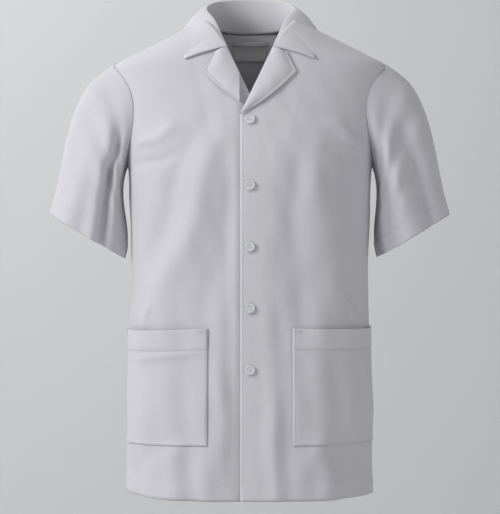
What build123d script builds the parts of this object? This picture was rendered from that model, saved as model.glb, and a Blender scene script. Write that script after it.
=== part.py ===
"""Short-sleeved lab coat, buttoned up and hanging from the shoulders, in millimetres.

The origin is in the middle of the neck, level with the high points of the shoulders. +Z is up, the front
faces -Y and +X is the wearer's left. Every layer of cloth follows one form, the space that the wearer fills:
a layer lies between two offsets of that form and is cut to the outline of its pattern piece, drawn as it is
seen from in front.
"""

import math
import os
from functools import lru_cache

from build123d import *

os.makedirs("parts", exist_ok=True)

# ---- cloth -----------------------------------------------------------------------------------------------
cloth = 1.2  # thickness of one layer as modelled, which stands in for 0.4 of real cloth
interlining = 0.7
air = 0.3  # free space between two layers
seam_y = 4.0  # the side and shoulder seams lie in this plane, which parts front from back

# ---- the form; every drop is measured down from the shoulder's high point ----------------------------------
coat_length = 780.0
shoulder_width = 458.0
shoulder_drop = 76.0
neck_width = 150.0
underarm_drop = 240.0
waist_drop = 430.0
hip_drop = 590.0
chest_width = 400.0
waist_width = 388.0
hip_width = 402.0
hem_width = 404.0
neck_depth = 134.0
shoulder_depth = 172.0
chest_depth = 258.0
hip_depth = 264.0
squareness = 2.4  # 2 is an ellipse; more is boxier
form_sides = 12
sleeve_sides = 8
spare = 60.0  # the form runs on this far past the hem and the collar before it is cut

# ---- fronts ------------------------------------------------------------------------------------------------
front_extension = 16.0  # how far each front runs past the centre line
facing_width = 38.0  # from the centre line to the facing's inner edge
facing_step_drop = 204.0  # above this the facing widens
facing_chest_width = 60.0
facing_shoulder_width = 96.0

# ---- collar and lapels -------------------------------------------------------------------------------------
collar_cloth = 1.0
roll_side = 70.0  # where the roll line meets the side of the neck
roll_side_rise = 19.0
roll_back_rise = 42.0
roll_back_bow = 4.0
v_depth = 130.0  # where the two roll lines cross
gorge_drop = 53.0  # the seam that joins the lapel to the collar meets the roll line here
gorge_gap = 1.5
notch_out, notch_drop = 58.0, 60.0
lapel_out, lapel_drop = 75.0, 94.0
leaf_out, leaf_drop = 105.0, 73.0
leaf_side_out, leaf_side_drop = 106.0, 17.0  # the leaf's edge where it crosses the shoulder seam
leaf_back_drop = 28.0
leaf_stand_off = 13.0  # how far the leaf stands away from the neck at the shoulder's high point
back_neck_drop = 16.0
neck_facing_depth = 45.0
fold_gap = 0.5  # between one layer's fold and the next, at the roll line
lapel_lift = 1.6  # from the front panel to the underside of the lapel
lapel_thickness = 2.0

# ---- buttons and buttonholes -------------------------------------------------------------------------------
button_diameter = 15.5
button_thickness = 2.8
button_rim = 2.2
button_dish = 0.8
button_edge = 0.7
button_hole_spacing = 3.4
button_hole_radius = 0.95
thread_radius = 0.7
shank_radius = 1.6
shank_show = 1.4  # of the shank that shows between the cloth and the button
shank_head = 0.6  # the height of the flat pad of thread under the button
first_button_drop = 172.0
second_button_drop = 277.0
button_pitch = 97.5
button_count = 5
slit_ease = 3.0  # how much longer than the button a buttonhole is
slit_width = 4.2
slit_shift = 1.5  # the buttonhole's middle is this far below its button's
stitch_width = 1.5
stitch_thickness = 0.45

# ---- pockets -----------------------------------------------------------------------------------------------
pocket_inner_edge = 67.0
pocket_mouth_drop = 504.0
pocket_depth = 186.0
pocket_to_seam = 14.0
pocket_room = 12.0
tack_size = 7.0

# ---- sleeves -----------------------------------------------------------------------------------------------
sleeve_cap = 42.0  # level with the shoulder's tip: half as deep as this is wide
underarm_gap = 8.0  # from the side seam to the sleeve, a hand's breadth below the underarm
sleeve_slope = 0.40  # how far the outer edge goes out for each step down
sleeve_depth = 130.0
sleeve_hem_depth = 126.0
sleeve_outer_drop = 322.0  # the hem's outer and inner ends
sleeve_inner_drop = 392.0
sleeve_inner_out = 9.0  # the hem's inner end, outside the chest's side

# ---- loop and labels ---------------------------------------------------------------------------------------
loop_span = 64.0
loop_bow = 9.0
loop_height = 7.0
loop_drop = 26.0
neck_label_width, neck_label_height = 54.0, 26.0
care_label_width, care_label_height, care_label_drop = 30.0, 46.0, 610.0
label_thickness = 0.6

reach = 600.0  # further than the coat goes in any direction
shoulder_half, neck_half = shoulder_width / 2, neck_width / 2
under = 2 * (cloth + air)  # how far the under front lies behind the upper one at the lap
front_plane = Plane.XZ.offset(-seam_y)  # its normal points forwards, along -Y


def save(builder, name):
    """Names a finished piece and writes it."""
    builder.part.label = name
    export_step(builder.part, f"parts/{name}.step")


# ---- the form ----------------------------------------------------------------------------------------------
def reach_of(angle, half_width, half_depth, power):
    """How far an oval reaches in a direction. A power of 2 is an ellipse and more is boxier."""
    q = power / (power - 1)
    across, along = abs(math.cos(angle)) * half_width, abs(math.sin(angle)) * half_depth
    return (across**q + along**q) ** (1 / q)


def facets(plane, half_width, half_depth, power, grow, sides):
    """A polygon round an oval, moved outwards by grow. Its sides face the same ways at every height."""
    angles = [2 * math.pi * i / sides for i in range(sides)]
    reaches = [reach_of(angle, half_width, half_depth, power) + grow for angle in angles]
    turn = 2 * math.pi / sides
    points = []
    for i, angle in enumerate(angles):
        here, after = reaches[i], reaches[(i + 1) % sides]
        along = (after - here * math.cos(turn)) / math.sin(turn)
        x = here * math.cos(angle) - along * math.sin(angle)
        y = here * math.sin(angle) + along * math.cos(angle)
        points.append((x, y))
    with BuildSketch(plane) as sketch:
        with BuildLine():
            Polyline(*points, close=True)
        make_face()
    return sketch.sketch


def on_shoulder(share):
    """A section's height, half width and half depth, at a share of the way from the neck to the tip."""
    return (
        -share * shoulder_drop,
        neck_half + share * (shoulder_half - neck_half),
        (neck_depth + share * (shoulder_depth - neck_depth)) / 2,
    )


lower_levels = [
    (-coat_length - spare, hem_width / 2, hip_depth / 2),
    (-coat_length, hem_width / 2, hip_depth / 2),
    (-hip_drop, hip_width / 2, hip_depth / 2),
    (-waist_drop, waist_width / 2, chest_depth / 2),
    (-underarm_drop, chest_width / 2, chest_depth / 2),
    (
        -(underarm_drop + shoulder_drop) / 2,
        (chest_width + shoulder_width) / 4,
        (chest_depth + shoulder_depth) / 4,
    ),
    on_shoulder(1.0),
    on_shoulder(0.6),
    on_shoulder(0.25),
]
neck_levels = [
    on_shoulder(0.0),
    (roll_side_rise, roll_side + 3, neck_depth / 2 - 4),
    (roll_back_rise + spare, roll_side - 4, neck_depth / 2 - 10),
]
leaf_levels = [
    (0, neck_half + leaf_stand_off, neck_depth / 2 + leaf_stand_off),
    (roll_side_rise, roll_side + 7, neck_depth / 2 + 2),
    (roll_back_rise + spare, roll_side - 4, neck_depth / 2 - 10),
]


@lru_cache(maxsize=None)
def form(grow, leaf=False):
    """The wearer's form, every section larger all round by grow. The leaf's form is wider round the neck."""
    levels = lower_levels + (leaf_levels if leaf else neck_levels)
    with BuildPart() as solid:
        loft(
            [facets(Plane((0, seam_y, h)), w, d, squareness, grow, form_sides) for h, w, d in levels],
            ruled=True,
        )
    return solid.part


def prism(points, start=0.0, amount=reach):
    """A prism with an outline drawn on the front view. It runs forwards from the seams, or back if negative."""
    with BuildPart() as solid:
        with BuildSketch(front_plane.offset(start)):
            with BuildLine():
                Polyline(*points, close=True)
            make_face()
        extrude(amount=amount)
    return solid.part


def box_outline(x0, x1, z0, z1):
    return [(x0, z0), (x1, z0), (x1, z1), (x0, z1)]


def mirrored(points):
    return [(-x, z) for x, z in points]


def cut_cloth(outline, outer, inner, leaf=False):
    """A piece of cloth that lies between two offsets of the form, inside an outline's prism."""
    with BuildPart() as piece:
        add(outline)
        add(form(outer, leaf), mode=Mode.INTERSECT)
        add(form(inner, leaf), mode=Mode.SUBTRACT)
    return piece.part


# ---- sleeves: a tube from the armhole to the hem ------------------------------------------------------------
def sleeve_outer(drop):
    """The outer edge of the sleeve, seen from in front, at this drop."""
    return shoulder_half + sleeve_slope * (drop - shoulder_drop)


chest_half = chest_width / 2
sleeve_end = sleeve_inner_drop + spare
sleeve_rows = [  # drop, inner edge, outer edge, depth
    (shoulder_drop - 20, shoulder_half - 3 * sleeve_cap, shoulder_half - 1.5 * sleeve_cap, sleeve_cap),
    (shoulder_drop, shoulder_half - 2.4 * sleeve_cap, shoulder_half - 4, 2 * sleeve_cap),
    (
        (shoulder_drop + underarm_drop) / 2,
        chest_half - sleeve_cap,
        sleeve_outer((shoulder_drop + underarm_drop) / 2),
        sleeve_depth - 6,
    ),
    (underarm_drop, chest_half - 3, sleeve_outer(underarm_drop), sleeve_depth),
    (underarm_drop + 40, chest_half + underarm_gap - 2, sleeve_outer(underarm_drop + 40), sleeve_depth),
    (sleeve_inner_drop, chest_half + sleeve_inner_out, sleeve_outer(sleeve_inner_drop), sleeve_hem_depth),
    (sleeve_end, chest_half + sleeve_inner_out, sleeve_outer(sleeve_end), sleeve_hem_depth),
]


def sleeve_solid(grow):
    """The space inside a sleeve's outline, from inside the form to past the hem."""
    rows = []
    for drop, inner, outer, depth in sleeve_rows:
        plane = Plane(((inner + outer) / 2, seam_y, -drop))
        rows.append(facets(plane, (outer - inner) / 2, depth / 2, 2, grow, sleeve_sides))
    with BuildPart() as tube:
        loft(rows, ruled=True)
    return tube.part


inner_end = (chest_half + sleeve_inner_out, -sleeve_inner_drop)
outer_end = (sleeve_outer(sleeve_outer_drop), -sleeve_outer_drop)
hem_slope = (outer_end[1] - inner_end[1]) / (outer_end[0] - inner_end[0])
above_hem = [
    (0, inner_end[1] - hem_slope * inner_end[0]),
    (reach, inner_end[1] + hem_slope * (reach - inner_end[0])),
    (reach, reach),
    (0, reach),
]
with BuildPart() as left_sleeve:
    with BuildSketch(front_plane.offset(-reach)):
        with BuildLine():
            Polyline(*above_hem, close=True)
        make_face()
    extrude(amount=2 * reach)
    add(sleeve_solid(0), mode=Mode.INTERSECT)
    add(sleeve_solid(-cloth), mode=Mode.SUBTRACT)
    add(form(air), mode=Mode.SUBTRACT)
save(left_sleeve, "left_sleeve")

with BuildPart() as right_sleeve:
    add(left_sleeve.part.mirror(Plane.YZ))
save(right_sleeve, "right_sleeve")

with BuildPart() as armholes:
    add(sleeve_solid(-cloth))
    mirror(about=Plane.YZ)

# ---- outlines on the front view ----------------------------------------------------------------------------
roll_slope = (roll_side_rise + v_depth) / roll_side  # the left roll line's rise for each step outwards
break_point = (-front_extension, -v_depth - roll_slope * front_extension)
gorge = ((v_depth - gorge_drop) / roll_slope, -gorge_drop)
neck_point = neck_half + 6  # the necklines run just past the side of the neck
front_neckline = [gorge, ((gorge[0] + neck_half) / 2 + 4, -0.4 * gorge_drop), (neck_point, 0)]
back_neckline = [
    (neck_point, 0),
    (neck_half / 2, -0.75 * back_neck_drop),
    (0, -back_neck_drop),
    (-neck_half / 2, -0.75 * back_neck_drop),
    (-neck_point, 0),
]
back_outline = [(reach, -coat_length), (reach, 0), *back_neckline, (-reach, 0), (-reach, -coat_length)]
left_front_outline = [
    (-front_extension, -coat_length),
    break_point,
    *front_neckline,
    (reach, 0),
    (reach, -coat_length),
]
facing_outline = [
    (-front_extension, -coat_length),
    break_point,
    *front_neckline,
    (facing_shoulder_width, 0),
    (facing_shoulder_width, -gorge_drop),
    (facing_chest_width, -facing_step_drop),
    (facing_width, -facing_step_drop),
    (facing_width, -coat_length),
]
lapel_outline = [
    break_point,
    (gorge[0], gorge[1] - gorge_gap),
    (notch_out, -notch_drop - gorge_gap),
    (lapel_out, -lapel_drop),
    ((lapel_out + break_point[0]) / 2 + 3, (break_point[1] - lapel_drop) / 2 - 3),
]

# ---- buttonholes -------------------------------------------------------------------------------------------
button_drops = [first_button_drop]
for i in range(button_count - 1):
    button_drops.append(second_button_drop + i * button_pitch)


def slits(grow):
    """The shape of every buttonhole, larger all round by grow, through everything in front of the seams."""
    with BuildPart() as cut:
        with BuildSketch(front_plane):
            with Locations(*[(0, -drop - slit_shift) for drop in button_drops]):
                SlotOverall(button_diameter + slit_ease + 2 * grow, slit_width + 2 * grow, rotation=90)
        extrude(amount=reach)
    return cut.part


# ---- body panels -------------------------------------------------------------------------------------------
with BuildPart() as back_panel:
    add(cut_cloth(prism(back_outline, amount=-reach), 0, -cloth))
    add(armholes.part, mode=Mode.SUBTRACT)
save(back_panel, "back_panel")

with BuildPart() as left_front:
    add(cut_cloth(prism(left_front_outline), 0, -cloth))
    add(armholes.part, mode=Mode.SUBTRACT)
    add(slits(0), mode=Mode.SUBTRACT)
save(left_front, "left_front")

with BuildPart() as left_front_facing:
    add(cut_cloth(prism(facing_outline), -cloth - air, -2 * cloth - air))
    add(slits(0), mode=Mode.SUBTRACT)
save(left_front_facing, "left_front_facing")

# The under front is level with the upper one until the upper one's edge, and steps back behind it there.
right_outline = mirrored(left_front_outline)
edge_x = -front_extension - air


def between(x0, x1):
    """A prism for the strip between two upright lines on the front view."""
    return prism(box_outline(x0, x1, -2 * reach, reach))


with BuildPart() as lap_step:
    add(cut_cloth(prism(right_outline), 0, -under - cloth))
    add(between(edge_x - 2 * cloth, edge_x), mode=Mode.INTERSECT)

with BuildPart() as under_lap:
    add(cut_cloth(prism(right_outline), -under, -under - cloth))
    add(between(edge_x - cloth, reach), mode=Mode.INTERSECT)

with BuildPart() as right_front:
    add(cut_cloth(prism(right_outline), 0, -cloth))
    add(between(-reach, edge_x), mode=Mode.INTERSECT)
    add(lap_step.part)
    add(under_lap.part)
    add(armholes.part, mode=Mode.SUBTRACT)
save(right_front, "right_front")

with BuildPart() as right_front_facing:
    add(cut_cloth(prism(mirrored(facing_outline)), -under - cloth - air, -under - 2 * cloth - air))
save(right_front_facing, "right_front_facing")

neck_facing_outline = [
    (facing_shoulder_width, 0),
    *back_neckline,
    (-facing_shoulder_width, 0),
    (-facing_shoulder_width, -back_neck_drop - 0.5 * neck_facing_depth),
    (0, -back_neck_drop - neck_facing_depth),
    (facing_shoulder_width, -back_neck_drop - 0.5 * neck_facing_depth),
]
with BuildPart() as back_neck_facing:
    add(cut_cloth(prism(neck_facing_outline, amount=-reach), -cloth - air, -2 * cloth - air))
save(back_neck_facing, "back_neck_facing")

# ---- lapels and collar -------------------------------------------------------------------------------------
with BuildPart() as left_lapel:
    add(cut_cloth(prism(lapel_outline), lapel_lift + lapel_thickness, lapel_lift))
save(left_lapel, "left_lapel")

with BuildPart() as right_lapel:
    add(cut_cloth(prism(mirrored(lapel_outline)), lapel_lift + lapel_thickness, lapel_lift))
    add(between(-reach, -front_extension - 2 * air), mode=Mode.INTERSECT)
save(right_lapel, "right_lapel")


def roll_back(lower):
    """The roll line round the back of the neck, this much lower than the collar's own."""
    return [
        (-reach, roll_side_rise - lower),
        (-roll_side, roll_side_rise - lower),
        (-0.6 * roll_side, roll_back_rise - roll_back_bow - lower),
        (0, roll_back_rise - lower),
        (0.6 * roll_side, roll_back_rise - roll_back_bow - lower),
        (roll_side, roll_side_rise - lower),
        (reach, roll_side_rise - lower),
    ]


def front_roll(lower):
    """The roll line in front, from the gorge to beyond the side of the neck, this much further out and down."""
    start = (gorge[0] + lower, gorge[1])
    corner = (roll_side + lower * (1 - 1 / roll_slope), roll_side_rise - lower)
    return [start, corner, (reach, corner[1])]


def front_leaf(lower):
    return [
        *front_roll(lower),
        (reach, -leaf_side_drop),
        (leaf_side_out, -leaf_side_drop),
        (leaf_out, -leaf_drop),
        (notch_out, -notch_drop),
    ]


def back_leaf(lower):
    return [
        *roll_back(lower),
        (reach, -leaf_side_drop),
        (leaf_side_out, -leaf_side_drop),
        (0.6 * leaf_side_out, -leaf_back_drop + 2),
        (-0.6 * leaf_side_out, -leaf_back_drop + 2),
        (-leaf_side_out, -leaf_side_drop),
        (-reach, -leaf_side_drop),
    ]


def back_stand(lower):
    return [*roll_back(lower), (reach, 0), *back_neckline, (-reach, 0)]


def fold(roll, lower, width):
    """A strip along a roll line, as wide as its layer of cloth is thick."""
    return [*roll(lower), *reversed(roll(lower + width))]


above_neckline = [*front_neckline, (reach, 0), (reach, reach), (-front_extension, reach)]


def collar_layer(leaf_out, leaf_in, stand_out, stand_in, lower):
    """One layer of the collar: a leaf outside, a stand inside, and the fold that joins them at the top.

    The first four are offsets of the form, and lower is how far this layer's fold lies below the roll line.
    """
    width = leaf_out - leaf_in
    with BuildPart() as front_stand:
        add(prism([*front_roll(lower), (reach, -reach), (front_roll(lower)[0][0], -reach)]))
        add(prism(above_neckline), mode=Mode.INTERSECT)
    with BuildPart() as folds:
        add(prism(fold(front_roll, lower, width)))
        add(prism(above_neckline), mode=Mode.INTERSECT)
        mirror(about=Plane.YZ)
        add(prism(fold(roll_back, lower, width), amount=-reach))
        add(form(leaf_out, leaf=True), mode=Mode.INTERSECT)
        add(form(stand_in), mode=Mode.SUBTRACT)
    with BuildPart() as piece:
        add(cut_cloth(prism(front_leaf(lower)), leaf_out, leaf_in, leaf=True))
        add(cut_cloth(front_stand.part, stand_out, stand_in))
        mirror(about=Plane.YZ)
        add(cut_cloth(prism(back_leaf(lower), amount=-reach), leaf_out, leaf_in, leaf=True))
        add(cut_cloth(prism(back_stand(lower), amount=-reach), stand_out, stand_in))
        add(folds.part)
    return piece


under_leaf = air + collar_cloth
under_collar = collar_layer(under_leaf, air, 0, -collar_cloth, interlining + collar_cloth + 2 * fold_gap)
save(under_collar, "under_collar")

middle_leaf = under_leaf + air + interlining
middle_stand = -collar_cloth - air
collar_interlining = collar_layer(
    middle_leaf,
    middle_leaf - interlining,
    middle_stand,
    middle_stand - interlining,
    collar_cloth + fold_gap,
)
save(collar_interlining, "collar_interlining")

upper_leaf = middle_leaf + air + collar_cloth
upper_stand = middle_stand - interlining - air
upper_collar = collar_layer(upper_leaf, upper_leaf - collar_cloth, upper_stand, upper_stand - collar_cloth, 0)
save(upper_collar, "upper_collar")


# ---- buttons, their thread and the stitched buttonholes ----------------------------------------------------
def half_depth_at(drop):
    """The form's half depth at this drop, and how much it grows for each step down."""
    for (low, _, d_low), (high, _, d_high) in zip(lower_levels, lower_levels[1:]):
        if low <= -drop <= high:
            growth = (d_low - d_high) / (high - low)
            return d_high + growth * (high + drop), growth
    raise ValueError(f"no level at {drop}")


def button_plane(drop, lift):
    """A plane that lies flat over the front at a button, this far out from it."""
    depth, growth = half_depth_at(drop)
    angle = math.atan(growth)
    normal = Vector(0, -math.cos(angle), math.sin(angle))
    return Plane(origin=Vector(0, seam_y - depth, -drop) + normal * lift, x_dir=(1, 0, 0), z_dir=normal)


dish_radius = button_diameter / 2 - button_rim
dish_floor = shank_show + button_thickness - button_dish
for number, drop in enumerate(button_drops, 1):
    with BuildPart() as button:
        with BuildSketch(button_plane(drop, shank_show)):
            Circle(button_diameter / 2)
        extrude(amount=button_thickness)
        fillet(button.edges(), button_edge)
        with BuildSketch(button_plane(drop, shank_show + button_thickness)):
            Circle(dish_radius)
        extrude(amount=-button_dish, mode=Mode.SUBTRACT)
        with BuildSketch(button_plane(drop, shank_show)):
            with GridLocations(button_hole_spacing, button_hole_spacing, 2, 2):
                Circle(button_hole_radius)
        extrude(amount=button_thickness, mode=Mode.SUBTRACT)
    save(button, f"button_{number}")

    with BuildPart() as thread:
        with BuildSketch(button_plane(drop, air - under)):
            Circle(shank_radius)
        extrude(amount=shank_show + under - air)
        with BuildSketch(button_plane(drop, shank_show - shank_head)):
            with GridLocations(button_hole_spacing, button_hole_spacing, 2, 2):
                Circle(thread_radius)
        extrude(amount=dish_floor - shank_show + shank_head)
        with BuildSketch(button_plane(drop, shank_show - shank_head)):
            Rectangle(button_hole_spacing, button_hole_spacing)
        extrude(amount=shank_head)
        with BuildSketch(button_plane(drop, dish_floor)):
            with GridLocations(0, button_hole_spacing, 1, 2):
                SlotCenterToCenter(button_hole_spacing, 2 * thread_radius)
        extrude(amount=thread_radius)
    save(thread, f"button_{number}_thread")

with BuildPart() as buttonhole_stitching:
    add(slits(stitch_width))
    add(slits(0), mode=Mode.SUBTRACT)
    add(form(stitch_thickness), mode=Mode.INTERSECT)
    add(form(0), mode=Mode.SUBTRACT)
save(buttonhole_stitching, "buttonhole_stitching")

# ---- pockets: a patch that stands away from the front it is sewn to ----------------------------------------
pocket_bottom = -pocket_mouth_drop - pocket_depth
pocket_outer = pocket_room + cloth
pocket_outline = box_outline(pocket_inner_edge, reach, pocket_bottom, -pocket_mouth_drop)
inside_outline = box_outline(
    pocket_inner_edge + cloth, reach, pocket_bottom + cloth, -pocket_mouth_drop + cloth
)
with BuildPart() as pocket_inside:
    add(prism(inside_outline, start=pocket_to_seam + cloth))
    add(form(pocket_room), mode=Mode.INTERSECT)

with BuildPart() as left_pocket:
    add(prism(pocket_outline, start=pocket_to_seam))
    add(form(pocket_outer), mode=Mode.INTERSECT)
    add(form(0), mode=Mode.SUBTRACT)
    add(pocket_inside.part, mode=Mode.SUBTRACT)
save(left_pocket, "left_pocket")

with BuildPart() as right_pocket:
    add(left_pocket.part.mirror(Plane.YZ))
save(right_pocket, "right_pocket")

tack_heights = (-pocket_mouth_drop - tack_size, -pocket_mouth_drop)
with BuildPart() as pocket_tacks:
    add(prism(box_outline(pocket_inner_edge, pocket_inner_edge + tack_size, *tack_heights)))
    add(prism(box_outline(pocket_inner_edge, reach, *tack_heights), start=pocket_to_seam, amount=tack_size))
    mirror(about=Plane.YZ)
    add(form(pocket_outer + stitch_thickness), mode=Mode.INTERSECT)
    add(form(pocket_outer), mode=Mode.SUBTRACT)
save(pocket_tacks, "pocket_tacks")

# ---- loop and labels ---------------------------------------------------------------------------------------
facing_inside = -2 * cloth - air
loop_y = seam_y + half_depth_at(loop_drop)[0] + facing_inside
with BuildPart() as hanger_loop:
    with BuildSketch(Plane.XY.offset(-loop_drop - loop_height)):
        with BuildLine():
            ThreePointArc((-loop_span / 2, loop_y), (0, loop_y - loop_bow), (loop_span / 2, loop_y))
            Line((loop_span / 2, loop_y), (loop_span / 2, loop_y + loop_bow))
            Line((loop_span / 2, loop_y + loop_bow), (loop_span / 2 - cloth, loop_y + loop_bow))
            Line((loop_span / 2 - cloth, loop_y + loop_bow), (loop_span / 2 - cloth, loop_y))
            ThreePointArc(
                (loop_span / 2 - cloth, loop_y),
                (0, loop_y - loop_bow + cloth),
                (-loop_span / 2 + cloth, loop_y),
            )
            Line((-loop_span / 2 + cloth, loop_y), (-loop_span / 2 + cloth, loop_y + loop_bow))
            Line((-loop_span / 2 + cloth, loop_y + loop_bow), (-loop_span / 2, loop_y + loop_bow))
            Line((-loop_span / 2, loop_y + loop_bow), (-loop_span / 2, loop_y))
        make_face()
    extrude(amount=loop_height)
    add(form(facing_inside), mode=Mode.INTERSECT)
save(hanger_loop, "hanger_loop")

label_top = -loop_drop - loop_height - air
neck_label_outline = box_outline(
    -neck_label_width / 2, neck_label_width / 2, label_top - neck_label_height, label_top
)
with BuildPart() as neck_label:
    add(cut_cloth(prism(neck_label_outline, amount=-reach), facing_inside, facing_inside - label_thickness))
save(neck_label, "neck_label")

care_label_outline = box_outline(0, reach, -care_label_drop - care_label_height, -care_label_drop)
with BuildPart() as care_label:
    add(cut_cloth(prism(care_label_outline, amount=-care_label_width), -cloth, -cloth - label_thickness))
save(care_label, "care_label")
print("all pieces written")
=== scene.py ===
"""Short-sleeved lab coat: cloth panels, collar, pockets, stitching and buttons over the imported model.

Metres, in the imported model's frame: +Z up, the front faces -Y, +X is the wearer's left, and the origin is in
the middle of the neck, level with the high points of the shoulders.
"""

import math

import bmesh
import bpy
from bpy.props import FloatProperty, IntProperty, PointerProperty
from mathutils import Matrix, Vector


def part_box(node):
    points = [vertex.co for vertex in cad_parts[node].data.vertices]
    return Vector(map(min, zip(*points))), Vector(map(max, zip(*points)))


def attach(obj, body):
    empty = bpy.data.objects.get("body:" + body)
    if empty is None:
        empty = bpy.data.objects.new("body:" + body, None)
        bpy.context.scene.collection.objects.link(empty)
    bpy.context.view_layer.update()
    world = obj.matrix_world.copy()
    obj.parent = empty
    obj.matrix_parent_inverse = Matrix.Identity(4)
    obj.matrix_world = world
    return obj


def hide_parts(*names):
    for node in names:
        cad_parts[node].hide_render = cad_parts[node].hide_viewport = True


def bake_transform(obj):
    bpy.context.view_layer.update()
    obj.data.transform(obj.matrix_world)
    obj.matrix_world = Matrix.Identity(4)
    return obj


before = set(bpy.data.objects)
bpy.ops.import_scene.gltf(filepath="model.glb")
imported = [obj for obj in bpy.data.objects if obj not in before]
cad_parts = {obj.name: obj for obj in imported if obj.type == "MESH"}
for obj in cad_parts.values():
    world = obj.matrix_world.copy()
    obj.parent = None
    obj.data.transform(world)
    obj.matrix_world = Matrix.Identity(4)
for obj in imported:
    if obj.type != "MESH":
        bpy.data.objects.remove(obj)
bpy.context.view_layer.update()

bl_info = {
    "name": "Lab coat",
    "version": (1, 0, 0),
    "blender": (4, 5, 0),
    "location": "View3D > Sidebar > Lab coat",
    "description": "Builds a buttoned short-sleeved lab coat over its packed model",
    "category": "Add Mesh",
}

BUTTONS = 5
SEAM_Y = 0.004  # the side and shoulder seams lie in this plane
SQUARENESS = 2.4
HEM_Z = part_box("back_panel")[0][2]
CLOTH = 0.0009
# the form's half width and half depth by height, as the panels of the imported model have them
WIDTHS = [(-0.84, 0.202), (-0.59, 0.201), (-0.43, 0.194), (-0.24, 0.200), (-0.076, 0.229), (0.0, 0.075),
          (0.019, 0.073), (0.102, 0.066)]
DEPTHS = [(-0.84, 0.132), (-0.59, 0.132), (-0.43, 0.129), (-0.24, 0.129), (-0.076, 0.086), (0.0, 0.067),
          (0.019, 0.063), (0.102, 0.057)]
FRONT_EDGE = 0.016
V_Z = -0.130
ROLL_SLOPE = 0.149 / 0.070
GORGE = (0.0362, -0.053)
NECK_SIDE = 0.078
LEAF_CORNER = (0.105, -0.073)
NOTCH = (0.058, -0.060)
LAPEL_CORNER = (0.075, -0.094)
ARMHOLE_Z, ARMHOLE_HALF_Z, ARMHOLE_HALF_Y = -0.156, 0.084, 0.062


# ---- small numbers -----------------------------------------------------------------------------------------
def clamp(value, low=0.0, high=1.0):
    return max(low, min(high, value))


def smooth(low, high, value):
    share = clamp((value - low) / (high - low))
    return share * share * (3 - 2 * share)


def mix(a, b, share):
    return a + (b - a) * share


def along(points, share):
    """A point on a list of points, at a share of the way from the first to the last, on straight lines."""
    place = clamp(share) * (len(points) - 1)
    index = min(int(place), len(points) - 2)
    return [mix(a, b, place - index) for a, b in zip(points[index], points[index + 1])]


def interpolate(pairs, value):
    for (low, a), (high, b) in zip(pairs, pairs[1:]):
        if value <= high:
            return mix(a, b, clamp((value - low) / (high - low)))
    return pairs[-1][1]


def softened(pairs, z):
    """The value at z, averaged over a window that is narrow near the shoulder and wide lower down."""
    window = 0.007 + 0.020 * smooth(-0.10, -0.20, z)
    steps = (-1.0, -0.6, -0.2, 0.2, 0.6, 1.0)
    return sum(interpolate(pairs, z + window * step) for step in steps) / len(steps)


# ---- the form ----------------------------------------------------------------------------------------------
def form_point(angle, z, out=0.0):
    """A point of the form. The angle is 0 at the wearer's left side and -90 degrees at the front's middle."""
    w, d = softened(WIDTHS, z) + out, softened(DEPTHS, z) + out
    c, s = math.cos(angle), math.sin(angle)
    x = math.copysign(abs(c) ** (2 / SQUARENESS), c) * w
    y = math.copysign(abs(s) ** (2 / SQUARENESS), s) * d
    return Vector((x, SEAM_Y + y, z))


def form_normal(angle, z):
    step = 0.02
    around = form_point(angle + step, z) - form_point(angle - step, z)
    up = form_point(angle, z + 0.004) - form_point(angle, z - 0.004)
    return around.cross(up).normalized()


def front_angle(x, z):
    """The angle on the form's front at this x."""
    share = clamp(abs(x) / softened(WIDTHS, z), 0.0, 1.0)
    c = share ** (SQUARENESS / 2)
    return -math.acos(math.copysign(c, x))


def on_front(x, z, out=0.0):
    """A point on the front of the coat, folds included, this far out from the cloth."""
    angle = front_angle(x, z)
    normal = form_normal(angle, z)
    return form_point(angle, z) + normal * (out + drape(form_point(angle, z)))


# ---- folds -------------------------------------------------------------------------------------------------
# each ridge: the two ends on the front view (x, z), height, half width, and the side it is on (-1 front)
RIDGES = [
    ((-0.058, -0.235), (-0.150, -0.480), 0.0075, 0.022, -1),
    ((-0.095, -0.215), (-0.178, -0.440), -0.0050, 0.018, -1),
    ((-0.020, -0.250), (-0.085, -0.560), -0.0045, 0.022, -1),
    ((-0.160, -0.470), (-0.172, -0.505), 0.0035, 0.006, -1),
    ((0.150, -0.455), (0.175, -0.500), 0.0035, 0.006, -1),
    ((0.105, -0.230), (0.138, -0.500), 0.0055, 0.024, -1),
    ((0.070, -0.260), (0.080, -0.520), -0.0040, 0.020, -1),
    ((0.160, -0.250), (0.172, -0.470), -0.0045, 0.016, -1),
    ((-0.190, -0.215), (-0.120, -0.185), 0.0045, 0.009, -1),
    ((-0.185, -0.245), (-0.115, -0.225), -0.0035, 0.008, -1),
    ((0.188, -0.215), (0.125, -0.175), 0.0040, 0.009, -1),
    ((0.183, -0.248), (0.120, -0.220), -0.0030, 0.008, -1),
    ((-0.045, -0.560), (-0.058, -0.780), 0.0050, 0.020, -1),
    ((0.040, -0.580), (0.052, -0.780), 0.0045, 0.020, -1),
    ((-0.110, -0.690), (-0.125, -0.785), 0.0055, 0.020, -1),
    ((0.105, -0.690), (0.125, -0.785), 0.0050, 0.022, -1),
    ((0.165, -0.690), (0.170, -0.785), -0.0040, 0.018, -1),
    ((-0.165, -0.690), (-0.172, -0.785), -0.0040, 0.018, -1),
    ((-0.060, -0.120), (-0.130, -0.620), 0.0070, 0.026, 1),
    ((0.060, -0.120), (0.120, -0.600), 0.0070, 0.026, 1),
    ((0.000, -0.200), (0.004, -0.780), -0.0050, 0.030, 1),
    ((-0.130, -0.350), (-0.120, -0.780), -0.0060, 0.024, 1),
    ((0.130, -0.350), (0.110, -0.780), -0.0060, 0.024, 1),
    ((-0.180, -0.235), (-0.090, -0.300), 0.0045, 0.012, 1),
    ((0.180, -0.235), (0.090, -0.300), 0.0045, 0.012, 1),
]


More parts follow.
